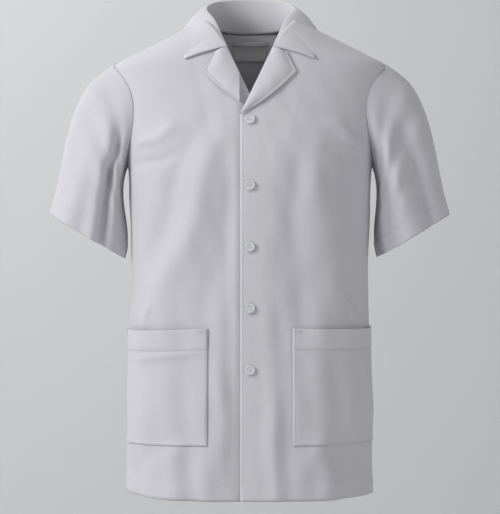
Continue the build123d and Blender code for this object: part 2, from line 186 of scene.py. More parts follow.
def ridge_height(point, start, end, height, half_width):
    """A soft ridge along a line on the front view, that fades out at its ends."""
    px, pz = point[0] - start[0], point[2] - start[1]
    dx, dz = end[0] - start[0], end[1] - start[1]
    length = math.hypot(dx, dz)
    share = (px * dx + pz * dz) / (length * length)
    across = (px * dz - pz * dx) / length
    width = half_width * mix(0.75, 1.35, clamp(share))
    fade = smooth(-0.30, 0.25, share) * smooth(1.30, 0.80, share)
    wander = 0.35 * half_width * math.sin(7 * share + 30 * start[0])
    return height * fade * math.exp(-(((across + wander) / width) ** 2))


def armhole_reach(point):
    """1 on the armhole's edge, less inside it and more outside."""
    if abs(point[0]) < 0.11:
        return 9.0
    return math.hypot((point[1] - SEAM_Y) / ARMHOLE_HALF_Y, (point[2] - ARMHOLE_Z) / ARMHOLE_HALF_Z)


def drape(point):
    """How far the cloth stands out from the form at a point: ridges, soft waves, the hem's flutes."""
    side = -1 if point[1] < SEAM_Y else 1
    total = smooth(0.0, 0.03, abs(point[1] - SEAM_Y)) * sum(
        ridge_height(point, start, end, height, width)
        for start, end, height, width, facing in RIDGES
        if facing == side
    )
    turn = math.atan2(point[1] - SEAM_Y, point[0])
    low = smooth(-0.25, -0.75, point[2])
    total += 0.0022 * low * math.sin(11 * turn + 3.0 * point[2] + 0.6)
    total += 0.0012 * math.sin(23 * turn + 9 * point[2]) * low
    total += 0.0006 * math.sin(60 * point[2] + 5 * turn) * math.sin(17 * turn)
    # the buttons hold the front edge down, and the collar the neck
    edge = smooth(0.0, 0.045, abs(point[0])) if side < 0 else 1.0
    total *= mix(0.15, 1.0, edge)
    total *= smooth(-0.02, -0.14, point[2])
    return total * smooth(1.0, 1.5, armhole_reach(point))


# ---- meshes ------------------------------------------------------------------------------------------------
def new_piece(name, verts, faces, material, smooth_shading=True):
    mesh = bpy.data.meshes.new(name)
    mesh.from_pydata([tuple(v) for v in verts], [], faces)
    mesh.validate()
    mesh.update()
    piece = bpy.data.objects.new(name, mesh)
    bpy.context.scene.collection.objects.link(piece)
    mesh.materials.append(material)
    if smooth_shading:
        mesh.shade_smooth()
    return piece


def grid_faces(columns, rows, closed=False):
    """Faces of a grid whose points run column by column."""
    faces = []
    for i in range(columns if closed else columns - 1):
        after = (i + 1) % columns
        for j in range(rows - 1):
            faces.append((i * rows + j, after * rows + j, after * rows + j + 1, i * rows + j + 1))
    return faces


def grid_piece(name, columns, rows, place, material, closed=False):
    """A sheet whose points place(u, v) gives, for u across and v up, both from 0 to 1."""
    steps = columns if closed else columns - 1
    verts = [place(i / steps, j / (rows - 1)) for i in range(columns) for j in range(rows)]
    return new_piece(name, verts, grid_faces(columns, rows, closed), material)


def apply_modifier(piece, kind, **settings):
    modifier = piece.modifiers.new(kind.title(), kind)
    for key, value in settings.items():
        setattr(modifier, key, value)
    depsgraph = bpy.context.evaluated_depsgraph_get()
    mesh = bpy.data.meshes.new_from_object(piece.evaluated_get(depsgraph))
    piece.modifiers.clear()
    old = piece.data
    piece.data = mesh
    bpy.data.meshes.remove(old)
    mesh.name = piece.name


def thicken(piece, thickness=CLOTH, inwards=True):
    """Gives a sheet its two sides, with its outside where the sheet was."""
    apply_modifier(piece, "SOLIDIFY", thickness=thickness, offset=-1.0 if inwards else 1.0, use_even_offset=True)


def face_outwards(piece, centre):
    """Turns a sheet's faces away from a point that it surrounds."""
    mesh = bmesh.new()
    mesh.from_mesh(piece.data)
    votes = sum((f.calc_center_median() - centre(f.calc_center_median())).dot(f.normal) for f in mesh.faces)
    if votes < 0:
        bmesh.ops.reverse_faces(mesh, faces=mesh.faces)
    mesh.to_mesh(piece.data)
    mesh.free()
    piece.data.shade_smooth()


def paint(piece, value):
    """Stores value(point) on the piece's points, as the attribute "doubled", which the cloth material turns into
    painted light.
    """
    layer = piece.data.attributes.new("doubled", "FLOAT", "POINT")
    for index, vert in enumerate(piece.data.vertices):
        layer.data[index].value = value(vert.co)


# ---- body panels -------------------------------------------------------------------------------------------
def neckline_z(x):
    """The height of the front's edge on the front view: the roll line, then the neckline."""
    gx, gz = GORGE
    if x < gx:
        return V_Z + ROLL_SLOPE * x
    share = clamp((x - gx) / (NECK_SIDE - gx))
    return gz + (0 - gz) * (1.45 * share - 0.45 * share * share)


def column_angle(share, z, edge_x):
    return mix(front_angle(edge_x, z), 0.0, share)


def column_top(share, edge_x):
    """Where a column of the left front meets the neckline or the roll line."""
    low, high = -0.30, -0.001
    for _ in range(26):
        middle = (low + high) / 2
        x = form_point(column_angle(share, middle, edge_x), middle).x
        if middle < neckline_z(x):
            low = middle
        else:
            high = middle
    return low


def hem_step(z, bottom, depth):
    """The turned-up hem stands a little proud, with a groove where it is stitched."""
    height = z - bottom
    return 0.0007 * smooth(depth + 0.001, depth - 0.002, height) - 0.0005 * math.exp(
        -(((height - depth) / 0.0016) ** 2)
    )


def hem_height(turn):
    """The hem dips a little at the front and back and rises at the sides."""
    return HEM_Z + 0.002 + 0.004 * abs(math.cos(turn)) ** 6


def close_armhole(piece):
    """Cuts the armhole out of a panel and draws its ragged edge onto the armhole's curve."""
    mesh = bmesh.new()
    mesh.from_mesh(piece.data)
    inside = [f for f in mesh.faces if all(armhole_reach(v.co) < 1.0 for v in f.verts)]
    bmesh.ops.delete(mesh, geom=inside, context="FACES")
    for vert in mesh.verts:
        reach = armhole_reach(vert.co)
        if reach < 1.0:
            y = SEAM_Y + (vert.co.y - SEAM_Y) / max(reach, 0.3)
            z = ARMHOLE_Z + (vert.co.z - ARMHOLE_Z) / max(reach, 0.3)
            vert.co = (math.copysign(side_x(y, z), vert.co.x), y, z)
    mesh.to_mesh(piece.data)
    mesh.free()


def side_x(y, z):
    """The form's x at this depth and height."""
    share = clamp(abs(y - SEAM_Y) / softened(DEPTHS, z), 0.0, 0.98)
    return softened(WIDTHS, z) * (1 - share**SQUARENESS) ** (1 / SQUARENESS)


def axis_point(point):
    return Vector((0, SEAM_Y, point.z))


def front_panel(name, side, edge_x, level, columns, rows, material):
    """A front from its edge to the side seam. level lies it under or over the other, near its edge."""
    tops = [column_top(i / (columns - 1), edge_x) for i in range(columns)]

    def place(u, v):
        index = round(u * (columns - 1))
        bottom = hem_height(column_angle(u, HEM_Z, edge_x))
        z = mix(bottom, tops[index], v**0.92)
        angle = column_angle(u, z, edge_x)
        point = form_point(angle, z)
        mirrored = Vector((point.x * side, point.y, z))
        out = drape(mirrored) + hem_step(z, bottom, 0.025) + level(point.x, z)
        point = point + form_normal(angle, z) * out
        return Vector((point.x * side, point.y, point.z))

    piece = grid_piece(name, columns, rows, place, material)
    close_armhole(piece)
    face_outwards(piece, axis_point)
    return piece


def facing_painted_light(point):
    """1 where the facing lies behind the front: the mask of the front's painted light."""
    x, z = abs(point.x), point.z
    edge = mix(0.038, 0.060, smooth(-0.206, -0.203, z))
    if z > -0.204:
        edge = mix(0.060, 0.096, clamp((z + 0.204) / 0.15))
    return smooth(edge + 0.0012, edge - 0.0012, x)


class CoatShape(bpy.types.PropertyGroup):
    """How finely the coat is made."""

    columns: IntProperty(name="Columns", description="Points round each front", default=84, min=20)
    rows: IntProperty(name="Rows", description="Points up each panel", default=190, min=20)
    pocket_gape: FloatProperty(
        name="Pocket gape", description="How far a pocket's mouth stands open", default=0.0065, unit="LENGTH"
    )
    roll: FloatProperty(
        name="Lapel roll", description="How far a lapel bulges beside its fold", default=0.0042, unit="LENGTH"
    )


# ---- materials ---------------------------------------------------------------------------------------------
class Socket:
    """A shader socket that takes part in sums written in Python."""

    def __init__(self, tree, socket):
        self.tree, self.socket = tree, socket

    def maths(self, operation, *others):
        node = self.tree.nodes.new("ShaderNodeMath")
        node.operation = operation
        for slot, value in zip(node.inputs, (self, *others)):
            if isinstance(value, Socket):
                self.tree.links.new(value.socket, slot)
            else:
                slot.default_value = value
        return Socket(self.tree, node.outputs[0])

    def __add__(self, other):
        return self.maths("ADD", other)

    def __sub__(self, other):
        return self.maths("SUBTRACT", other)

    def __mul__(self, other):
        return self.maths("MULTIPLY", other)

    def power(self, other):
        return self.maths("POWER", other)

    def sine(self):
        return self.maths("SINE")

    def clamped(self):
        return self.maths("MAXIMUM", 0.0).maths("MINIMUM", 1.0)


class Shader:
    """A material being built: its nodes are added by kind and joined by socket name."""

    def __init__(self, name):
        self.material = bpy.data.materials.new(name)
        self.material.use_nodes = True
        self.tree = self.material.node_tree
        self.surface = self.tree.nodes["Principled BSDF"]

    def node(self, kind, output=0, **inputs):
        node = self.tree.nodes.new(kind)
        for key, value in inputs.items():
            name = key.replace("_", " ")
            if name in node.inputs:
                self.feed(node.inputs[name], value)
            else:
                setattr(node, key, value)
        return Socket(self.tree, node.outputs[output])

    def feed(self, slot, value):
        if isinstance(value, Socket):
            self.tree.links.new(value.socket, slot)
        else:
            slot.default_value = value

    def place(self):
        return self.node("ShaderNodeTexCoord", "Object")

    def noise(self, scale, detail=2.0, roughness=0.5):
        return self.node("ShaderNodeTexNoise", "Fac", Vector=self.place(), Scale=scale, Detail=detail,
                         Roughness=roughness)

    def ramp(self, factor, dark, light):
        node = self.tree.nodes.new("ShaderNodeMix")
        node.data_type = "RGBA"
        self.feed(node.inputs[0], factor)
        node.inputs[6].default_value = (*dark, 1)
        node.inputs[7].default_value = (*light, 1)
        return Socket(self.tree, node.outputs[2])

    def finish(self, **inputs):
        for key, value in inputs.items():
            self.feed(self.surface.inputs[key.replace("_", " ")], value)
        return self.material


def weave(shader, thread):
    """The height of a plain weave whose threads are this far apart: warp and weft take turns on top."""
    split = shader.tree.nodes.new("ShaderNodeSeparateXYZ")
    shader.feed(split.inputs[0], shader.place())
    x, y, z = (Socket(shader.tree, split.outputs[i]) for i in range(3))
    turn = 2 * math.pi / thread
    across, up = (x + y * 0.8) * turn, z * turn
    return (across.sine() * up.sine()) * 0.5 + 0.5


def make_cloth(name, dark, light, doubled_painted_light_gain=0.0, thread=0.0007, bump=0.00012):
    """White cloth: a fine weave, slubs, a slight lavender drift, painted shade in the hollows of the weave, and
    painted light where it is doubled, in place of the shade of the inside that shows through a single layer.
    """
    shader = Shader(name)
    height = weave(shader, thread)
    slub = shader.noise(420.0, 3.0, 0.6)
    patches = shader.noise(7.0, 3.0, 0.55)
    # random tone from the drift and the slubs, with painted shade in the hollows of the weave
    shade = (patches * 0.55 + slub * 0.25 + height * 0.2).clamped()
    # painted light: the colour is lighter where the cloth is doubled, in place of the shade of the inside that
    # shows through a single layer
    if doubled_painted_light_gain:
        doubled = shader.node("ShaderNodeAttribute", "Fac", attribute_name="doubled")
        shade = (shade * (1 - doubled_painted_light_gain) + doubled * doubled_painted_light_gain).clamped()
    rumple = shader.noise(38.0, 4.0, 0.6)
    bump_node = shader.node("ShaderNodeBump", "Normal", Strength=0.55, Distance=bump,
                            Height=height * 0.7 + slub * 0.3)
    soft = shader.tree.nodes.new("ShaderNodeBump")
    soft.inputs["Strength"].default_value = 0.35
    soft.inputs["Distance"].default_value = 0.0012
    shader.feed(soft.inputs["Height"], rumple)
    shader.feed(soft.inputs["Normal"], bump_node)
    shader.surface.inputs["Sheen Weight"].default_value = 0.25
    shader.surface.inputs["Sheen Roughness"].default_value = 0.6
    shader.surface.inputs["Specular IOR Level"].default_value = 0.25
    return shader.finish(
        Base_Color=shader.ramp(shade, dark, light),
        Roughness=(slub * 0.12 + 0.78),
        Normal=Socket(shader.tree, soft.outputs["Normal"]),
    )


def make_thread():
    """Twisted white sewing thread, with painted shade in the grooves of its twist."""
    shader = Shader("sewing_thread")
    split = shader.tree.nodes.new("ShaderNodeSeparateXYZ")
    shader.feed(split.inputs[0], shader.place())
    x, y, z = (Socket(shader.tree, split.outputs[i]) for i in range(3))
    twist = ((x + z * 1.3 + y * 0.7) * (2 * math.pi / 0.0006)).sine() * 0.5 + 0.5
    fuzz = shader.noise(900.0, 2.0)
    bump_node = shader.node("ShaderNodeBump", "Normal", Strength=0.6, Distance=0.0001, Height=twist)
    return shader.finish(
        # painted shade in the grooves of the twist, with the fuzz as a real random tone
        Base_Color=shader.ramp((twist * 0.6 + fuzz * 0.4).clamped(), (0.56, 0.555, 0.58), (0.74, 0.74, 0.76)),
        Roughness=fuzz * 0.2 + 0.55,
        Normal=bump_node,
    )


def make_button_plastic():
    """Milky pearl plastic with faint bands and a hard gloss."""
    shader = Shader("button_plastic")
    bands = shader.node("ShaderNodeTexWave", "Fac", Vector=shader.place(), Scale=90.0, Distortion=9.0,
                        Detail=3.0, Detail_Scale=1.6)
    cloud = shader.noise(160.0, 3.0)
    wear = shader.noise(700.0, 4.0)
    bump_node = shader.node("ShaderNodeBump", "Normal", Strength=0.15, Distance=0.00008, Height=wear)
    shader.surface.inputs["Coat Roughness"].default_value = 0.12
    shader.surface.inputs["Subsurface Weight"].default_value = 0.15
    shader.surface.inputs["Subsurface Scale"].default_value = 0.002
    return shader.finish(
        Base_Color=shader.ramp((bands * 0.4 + cloud * 0.6).clamped(), (0.60, 0.61, 0.63), (0.80, 0.81, 0.82)),
        Roughness=wear * 0.12 + 0.2,
        Coat_Weight=0.4,
        Normal=bump_node,
    )


MATERIALS = {
    # the coat's cloth gets painted light where it is doubled
    "cloth": make_cloth("coat_cloth", (0.535, 0.522, 0.560), (0.635, 0.625, 0.655), doubled_painted_light_gain=0.30),
    "inside": make_cloth("facing_cloth", (0.56, 0.55, 0.58), (0.64, 0.63, 0.655)),
    "tape": make_cloth("loop_tape", (0.56, 0.555, 0.575), (0.68, 0.68, 0.69), thread=0.0011, bump=0.0002),
    "label": make_cloth("label_tape", (0.70, 0.70, 0.69), (0.80, 0.80, 0.79), thread=0.0004, bump=0.00005),
    "thread": make_thread(),
    "button": make_button_plastic(),
}


# ---- stitching ---------------------------------------------------------------------------------------------
def stitch_tree():
    """Geometry Nodes that lay capsule stitches end to end along every edge of the mesh they are given."""
    tree = bpy.data.node_groups.new("Stitches", "GeometryNodeTree")
    for name, kind, default in (
        ("Geometry", "NodeSocketGeometry", None),
        ("Stitch Length", "NodeSocketFloat", 0.0021),
        ("Pitch", "NodeSocketFloat", 0.0029),
        ("Radius", "NodeSocketFloat", 0.0003),
        ("Material", "NodeSocketMaterial", None),
    ):
        socket = tree.interface.new_socket(name, in_out="INPUT", socket_type=kind)
        if default is not None:
            socket.default_value = default
    tree.interface.new_socket("Geometry", in_out="OUTPUT", socket_type="NodeSocketGeometry")
    nodes, link = tree.nodes, tree.links.new
    given, result = nodes.new("NodeGroupInput"), nodes.new("NodeGroupOutput")
    curve = nodes.new("GeometryNodeMeshToCurve")
    link(given.outputs["Geometry"], curve.inputs["Mesh"])
    points = nodes.new("GeometryNodeCurveToPoints")
    points.mode = "LENGTH"
    link(curve.outputs["Curve"], points.inputs["Curve"])
    link(given.outputs["Pitch"], points.inputs["Length"])
    capsule = nodes.new("GeometryNodeMeshUVSphere")
    capsule.inputs["Segments"].default_value = 6
    capsule.inputs["Rings"].default_value = 4
    link(given.outputs["Radius"], capsule.inputs["Radius"])
    half = nodes.new("ShaderNodeMath")
    half.operation = "DIVIDE"
    link(given.outputs["Stitch Length"], half.inputs[0])
    link(given.outputs["Radius"], half.inputs[1])
    third = nodes.new("ShaderNodeMath")
    third.operation = "MULTIPLY"
    third.inputs[1].default_value = 0.5
    link(half.outputs[0], third.inputs[0])
    stretch = nodes.new("ShaderNodeCombineXYZ")
    stretch.inputs["X"].default_value = 1.0
    stretch.inputs["Y"].default_value = 1.0
    link(third.outputs[0], stretch.inputs["Z"])
    placed = nodes.new("GeometryNodeInstanceOnPoints")
    link(points.outputs["Points"], placed.inputs["Points"])
    link(capsule.outputs["Mesh"], placed.inputs["Instance"])
    link(points.outputs["Rotation"], placed.inputs["Rotation"])
    link(stretch.outputs[0], placed.inputs["Scale"])
    real = nodes.new("GeometryNodeRealizeInstances")
    link(placed.outputs["Instances"], real.inputs["Geometry"])
    coloured = nodes.new("GeometryNodeSetMaterial")
    link(real.outputs["Geometry"], coloured.inputs["Geometry"])
    link(given.outputs["Material"], coloured.inputs["Material"])
    link(coloured.outputs["Geometry"], result.inputs["Geometry"])
    return tree


def stitch_lines(name, lines, radius=0.0003, length=0.0021, pitch=0.0029):
    """One piece that holds the stitches along every line of points."""
    verts, edges = [], []
    for line in lines:
        first = len(verts)
        verts.extend(tuple(p) for p in line)
        edges.extend((first + i, first + i + 1) for i in range(len(line) - 1))
    mesh = bpy.data.meshes.new(name)
    mesh.from_pydata(verts, edges, [])
    piece = bpy.data.objects.new(name, mesh)
    bpy.context.scene.collection.objects.link(piece)
    tree = bpy.data.node_groups.get("Stitches") or stitch_tree()
    modifier = piece.modifiers.new("Stitches", "NODES")
    modifier.node_group = tree
    values = {"Stitch Length": length, "Pitch": pitch, "Radius": radius, "Material": MATERIALS["thread"]}
    for item in tree.interface.items_tree:
        if item.item_type == "SOCKET" and item.in_out == "INPUT" and item.name in values:
            modifier[item.identifier] = values[item.name]
    depsgraph = bpy.context.evaluated_depsgraph_get()
    stitched = bpy.data.meshes.new_from_object(piece.evaluated_get(depsgraph))
    piece.modifiers.clear()
    piece.data = stitched
    stitched.shade_smooth()
    return piece


def front_line(points, side, out=0.0016):
    """A run of points on the left front (or the right, for a side of -1) through points of its front view."""
    line = []
    for start, end in zip(points, points[1:]):
        steps = max(2, round(math.dist(start, end) / 0.006))
        for i in range(steps):
            x, z = mix(start[0], end[0], i / steps), mix(start[1], end[1], i / steps)
            line.append(on_front(side * x, z, out))
    line.append(on_front(side * points[-1][0], points[-1][1], out))
    return line


# ---- sleeves -----------------------------------------------------------------------------------------------
HEM_OUTER, HEM_INNER = (0.3270, -0.322), (0.2095, -0.391)
HEM_HALF_Y = 0.062


def sleeve_ring(turn):
    """A point on the armhole: the turn is 0 at the top and goes round by the front."""
    y = SEAM_Y - ARMHOLE_HALF_Y * math.sin(turn)
    z = ARMHOLE_Z + ARMHOLE_HALF_Z * math.cos(turn)
    return Vector((side_x(y, z), y, z))


def sleeve_hem(turn, past=0.0):
    top, bottom = Vector((HEM_OUTER[0], SEAM_Y, HEM_OUTER[1])), Vector((HEM_INNER[0], SEAM_Y, HEM_INNER[1]))
    middle, half = (top + bottom) / 2, (top - bottom) / 2
    point = middle + half * math.cos(turn) + Vector((0, -HEM_HALF_Y * math.sin(turn), 0))
    return point + Vector((0.36, 0, -0.93)) * past


def sleeve_point(turn, share, side):
    start, end = sleeve_ring(turn), sleeve_hem(turn)
    up = (math.cos(turn) + 1) / 2
    away = Vector((mix(0.42, 0.86, up), -0.10 * math.sin(turn), mix(-0.90, -0.50, up))).normalized()
    reach = (end - start).length
    first = start + away * reach * 0.36
    last = end - Vector((0.30, 0, -0.95)) * reach * 0.36
    t = share
    point = start * (1 - t) ** 3 + first * 3 * t * (1 - t) ** 2 + last * 3 * t * t * (1 - t) + end * t**3
    middle = (sleeve_ring(0) + sleeve_ring(math.pi)) / 2 * (1 - t) + (sleeve_hem(0) + sleeve_hem(math.pi)) / 2 * t
    outward = (point - middle).normalized()
    grow = smooth(0.0, 0.25, t)
    waves = 0.0040 * math.sin(3 * turn + 0.8 + side) + 0.0022 * math.sin(7 * turn + 2.1 * t + 2 * side)
    fold = 0.0
    if side < 0:  # a deep fold down the front of the wearer's right sleeve
        gap = turn - mix(1.75, 2.05, t)
        fold = -0.016 * math.exp(-((gap / 0.16) ** 2)) + 0.008 * math.exp(-(((gap + 0.34) / 0.22) ** 2))
        fold *= smooth(0.05, 0.55, t)
    else:
        for place, depth, width in ((1.05, -0.006, 0.16), (1.75, 0.006, 0.24), (2.20, -0.007, 0.15)):
            fold += depth * math.exp(-(((turn - place) / width) ** 2)) * smooth(0.1, 0.6, t)
    drag = 0.0025 * math.sin(26 * t + 3 * math.cos(turn)) * smooth(0.9, 0.2, t) * grow * max(0.0, math.sin(turn))
    height = (1 - t) * reach
    hem = 0.0007 * smooth(0.027, 0.024, height) - 0.0005 * math.exp(-(((height - 0.025) / 0.0018) ** 2))
    point = point + outward * (grow * (waves + fold) + drag + hem + 0.0008)
    return Vector((point.x * side, point.y, point.z))


def sleeve_middle(side):
    def centre(point):
        share = clamp((point.z + 0.07) / -0.30)
        return Vector((side * mix(0.200, 0.268, share), SEAM_Y, point.z))

    return centre


class SleeveShape(bpy.types.PropertyGroup):
    """How finely each sleeve is made."""

    columns: IntProperty(name="Columns", description="Points round a sleeve", default=128, min=16)
    rows: IntProperty(name="Rows", description="Points down a sleeve", default=80, min=8)


def build_sleeve(side, shape):
    word = "left" if side > 0 else "right"
    piece = grid_piece(
        f"{word}_sleeve_cloth",
        shape.columns,
        shape.rows,
        lambda u, v: sleeve_point(2 * math.pi * u, v, side),
        MATERIALS["cloth"],
        closed=True,
    )
    face_outwards(piece, sleeve_middle(side))
    paint(piece, lambda point: 0.0)
    thicken(piece)
    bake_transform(piece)
    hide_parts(f"{word}_sleeve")
    return piece


def sleeve_hem_stitches(side):
    word = "left" if side > 0 else "right"
    line = []
    for i in range(161):
        turn = 2 * math.pi * i / 160
        reach = (sleeve_hem(turn) - sleeve_ring(turn)).length
        point = sleeve_point(turn, 1 - 0.025 / reach, side)
        away = (point - sleeve_middle(side)(point)).normalized()
        line.append(point + away * 0.0004)
    piece = stitch_lines(f"{word}_sleeve_hem_stitches", [line])
    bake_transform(piece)


# ---- collar and lapels -------------------------------------------------------------------------------------
def smooth_path(points, share):
    """A point on a smooth curve through a few points."""
    place = clamp(share) * (len(points) - 1)
    index = min(int(place), len(points) - 2)
    t = place - index
    p = [Vector(points[clamp_index(index + k, len(points))]) for k in (-1, 0, 1, 2)]
    return 0.5 * (
        2 * p[1]
        + (p[2] - p[0]) * t
        + (2 * p[0] - 5 * p[1] + 4 * p[2] - p[3]) * t * t
        + (3 * p[1] - p[0] - 3 * p[2] + p[3]) * t**3
    )


def clamp_index(index, count):
    return max(0, min(count - 1, index))


def mirrored_path(half):
    """The whole path round the neck from its left half, which runs from the front to the middle of the back."""
    return [(-x, y, z) for x, y, z in half] + [(x, y, z) for x, y, z in reversed(half[:-1])]


def collar_paths():
    gorge = on_front(GORGE[0], GORGE[1], 0.0012)
    corner = on_front(LEAF_CORNER[0], LEAF_CORNER[1], 0.0042)
    neck = [gorge, (0.058, -0.046, -0.024), (0.0745, 0.002, -0.003), (0.054, 0.052, -0.012), (0, 0.0715, -0.016)]
    roll = [gorge, (0.0555, -0.047, -0.008), (0.0705, 0.002, 0.0200), (0.050, 0.045, 0.0370), (0, 0.0610, 0.0420)]
    leaf = [corner, (0.1105, -0.046, -0.045), (0.1075, 0.004, -0.0125), (0.071, 0.070, -0.0230),
            (0, 0.0880, -0.0280)]
    return [mirrored_path([tuple(p) for p in path]) for path in (neck, roll, leaf)]


def collar_point(share, across, paths):
    """across runs from the neck seam (0) over the roll line (0.42) to the leaf's edge (1)."""
    neck, roll, leaf = (smooth_path(path, share) for path in paths)
    end = smooth(0.0, 0.10, min(share, 1 - share))
    centre = Vector((0, SEAM_Y, roll.z))
    away = (roll - centre).normalized()
    if across < 0.36:
        t = across / 0.36
        return neck * (1 - t) + roll * t - away * 0.0022 * math.sin(math.pi * t) * end
    t = (across - 0.36) / 0.64
    lift = Vector((0, 0, 1)) * 0.0030 * end + away * 0.0062
    first = roll + lift * mix(0.5, 1.0, end)
    bulge = mix(roll, leaf, 0.55) + away * mix(0.0050, 0.0075, end) + Vector((0, 0, 0.004))
    point = roll * (1 - t) ** 3 + first * 3 * t * (1 - t) ** 2 + bulge * 3 * t * t * (1 - t) + leaf * t**3
    ripple = 0.0009 * math.sin(34 * share + 3 * t) * t * (1 - t) * 4
    return point + away * ripple


class CollarShape(bpy.types.PropertyGroup):
    """How finely the collar and lapels are made."""

    columns: IntProperty(name="Columns", description="Points round the collar", default=150, min=16)
    rows: IntProperty(name="Rows", description="Points from the neck seam to the leaf's edge", default=36, min=8)
    thickness: FloatProperty(
        name="Thickness", description="Of the two layers and the interlining", default=0.0016, unit="LENGTH"
    )


def build_collar(shape):
    paths = collar_paths()
    piece = grid_piece(
        "collar_cloth",
        shape.columns,
        shape.rows,
        lambda u, v: collar_point(u, v, paths),
        MATERIALS["cloth"],
    )
    # the collar is doubled all over and gets the full painted light
    paint(piece, lambda point: 1.0)
    mesh = piece.data
    mesh.update()
    middle = mesh.polygons[(shape.columns // 2) * (shape.rows - 1) + shape.rows - 6]
    if middle.normal.dot(Vector((0, 1, 0))) < 0:
        mesh.flip_normals()
    thicken(piece, shape.thickness)
    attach(piece, "root")
    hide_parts("upper_collar", "under_collar", "collar_interlining")
    lines = [
        [collar_point(0.004 + 0.992 * i / 150, 0.955, paths) + Vector((0, 0, 0.0006)) for i in range(151)],
    ]
    for near in (0.010, 0.990):
        lines.append([collar_point(near, mix(0.44, 0.955, i / 24), paths) for i in range(25)])
    lifted = [[p + (p - Vector((0, SEAM_Y, p.z))).normalized() * 0.0004 for p in line] for line in lines]
    stitches = stitch_lines("collar_stitches", lifted)
    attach(stitches, "root")


def lapel_edge(share):
    """The lapel's free edge on the front view, from the break up to the corner and back in to the notch."""
    bottom = (-FRONT_EDGE, V_Z - ROLL_SLOPE * FRONT_EDGE)
    if share < 0.80:
        t = share / 0.80
        bow = 0.0045 * math.sin(math.pi * t)
        x = mix(bottom[0], LAPEL_CORNER[0], t) + bow * 0.6
        return x, mix(bottom[1], LAPEL_CORNER[1], t) - bow
    t = (share - 0.80) / 0.20
    return mix(LAPEL_CORNER[0], NOTCH[0], t), mix(LAPEL_CORNER[1], NOTCH[1] - 0.0018, t)


def lapel_point(share, across, side, roll_out):
    edge_x, edge_z = lapel_edge(share)
    start_x = mix(-FRONT_EDGE, GORGE[0], share)
    start_z = mix(V_Z - ROLL_SLOPE * FRONT_EDGE, GORGE[1] - 0.0018, share)
    x, z = mix(start_x, edge_x, across), mix(start_z, edge_z, across)
    length = math.dist((start_x, start_z), (edge_x, edge_z))
    bulge = roll_out * smooth(0.0, 0.02, length) * math.sin(math.pi * clamp(across * 1.15)) ** 0.8
    out = 0.0014 + bulge + 0.0016 * across * (1 - share) + 0.0008 * math.sin(9 * share + 4 * across) * across
    point = on_front(x, z, out + 0.0022)
    return Vector((point.x * side, point.y, point.z))


def build_lapel(side, shape, coat):
    word = "left" if side > 0 else "right"
    piece = grid_piece(
        f"{word}_lapel_cloth",
        76,
        30,
        lambda u, v: lapel_point(u, v, side, coat.roll),
        MATERIALS["cloth"],
    )
    if side < 0:
        mesh = bmesh.new()
        mesh.from_mesh(piece.data)
        bmesh.ops.bisect_plane(
            mesh,
            geom=mesh.verts[:] + mesh.edges[:] + mesh.faces[:],
            plane_co=(-FRONT_EDGE - 0.0006, 0, 0),
            plane_no=(1, 0, 0),
            clear_outer=True,
        )
        mesh.to_mesh(piece.data)
        mesh.free()
    face_outwards(piece, lambda point: Vector((point.x, SEAM_Y, point.z)))
    # the lapel is doubled all over and gets the full painted light
    paint(piece, lambda point: 1.0)
    thicken(piece, shape.thickness)
    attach(piece, f"{word}_lapel")
    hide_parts(f"{word}_lapel")
    line = []
    for i in range(90):
        share = i / 89
        p = lapel_point(share, 0.93 if 0.03 < share < 0.97 else 0.9, side, coat.roll)
        if side > 0 or p.x < -FRONT_EDGE - 0.002:
            line.append(p + Vector((0, -0.0005, 0.0001)))
    stitches = stitch_lines(f"{word}_lapel_stitches", [line])
    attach(stitches, f"{word}_lapel")


# ---- fronts, back and facings ------------------------------------------------------------------------------
def under_level(x, z):
    """The right front steps back behind the left one along the lap."""
    return -0.0031 * smooth(0.0195, 0.0160, x)


def flat_level(x, z):
    return 0.0


def build_front(side, shape):
    word = "left" if side > 0 else "right"
    level = flat_level if side > 0 else under_level
    piece = front_panel(
        f"{word}_front_cloth", side, -FRONT_EDGE, level, shape.columns, shape.rows, MATERIALS["cloth"]
    )
    # painted light where the facing lies behind the front
    paint(piece, facing_painted_light)
    thicken(piece)
    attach(piece, "root")
    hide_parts(f"{word}_front")


def build_facing(side, shape):
    word = "left" if side > 0 else "right"
    out = -0.0019 if side > 0 else -0.0052

    def place(u, v):
        z = mix(HEM_Z + 0.004, GORGE[1] - 0.006, v)
        inner = mix(0.038, 0.060, smooth(-0.208, -0.202, z))
        inner = mix(inner, 0.090, smooth(-0.204, -0.060, z) if z > -0.204 else 0.0)
        outer = max(-FRONT_EDGE + 0.001, (z - V_Z) / ROLL_SLOPE + 0.002)
        x = mix(outer, inner, u)
        point = on_front(x if side > 0 else -x, z, out)
        return Vector((point.x, point.y, point.z))

    piece = grid_piece(f"{word}_front_facing_cloth", 14, 120, place, MATERIALS["inside"])
    face_outwards(piece, axis_point)
    thicken(piece, 0.0007)
    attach(piece, "root")
    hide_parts(f"{word}_front_facing")


def back_neck_z(x):
    return -0.016 * max(0.0, 1 - (x / NECK_SIDE) ** 2)


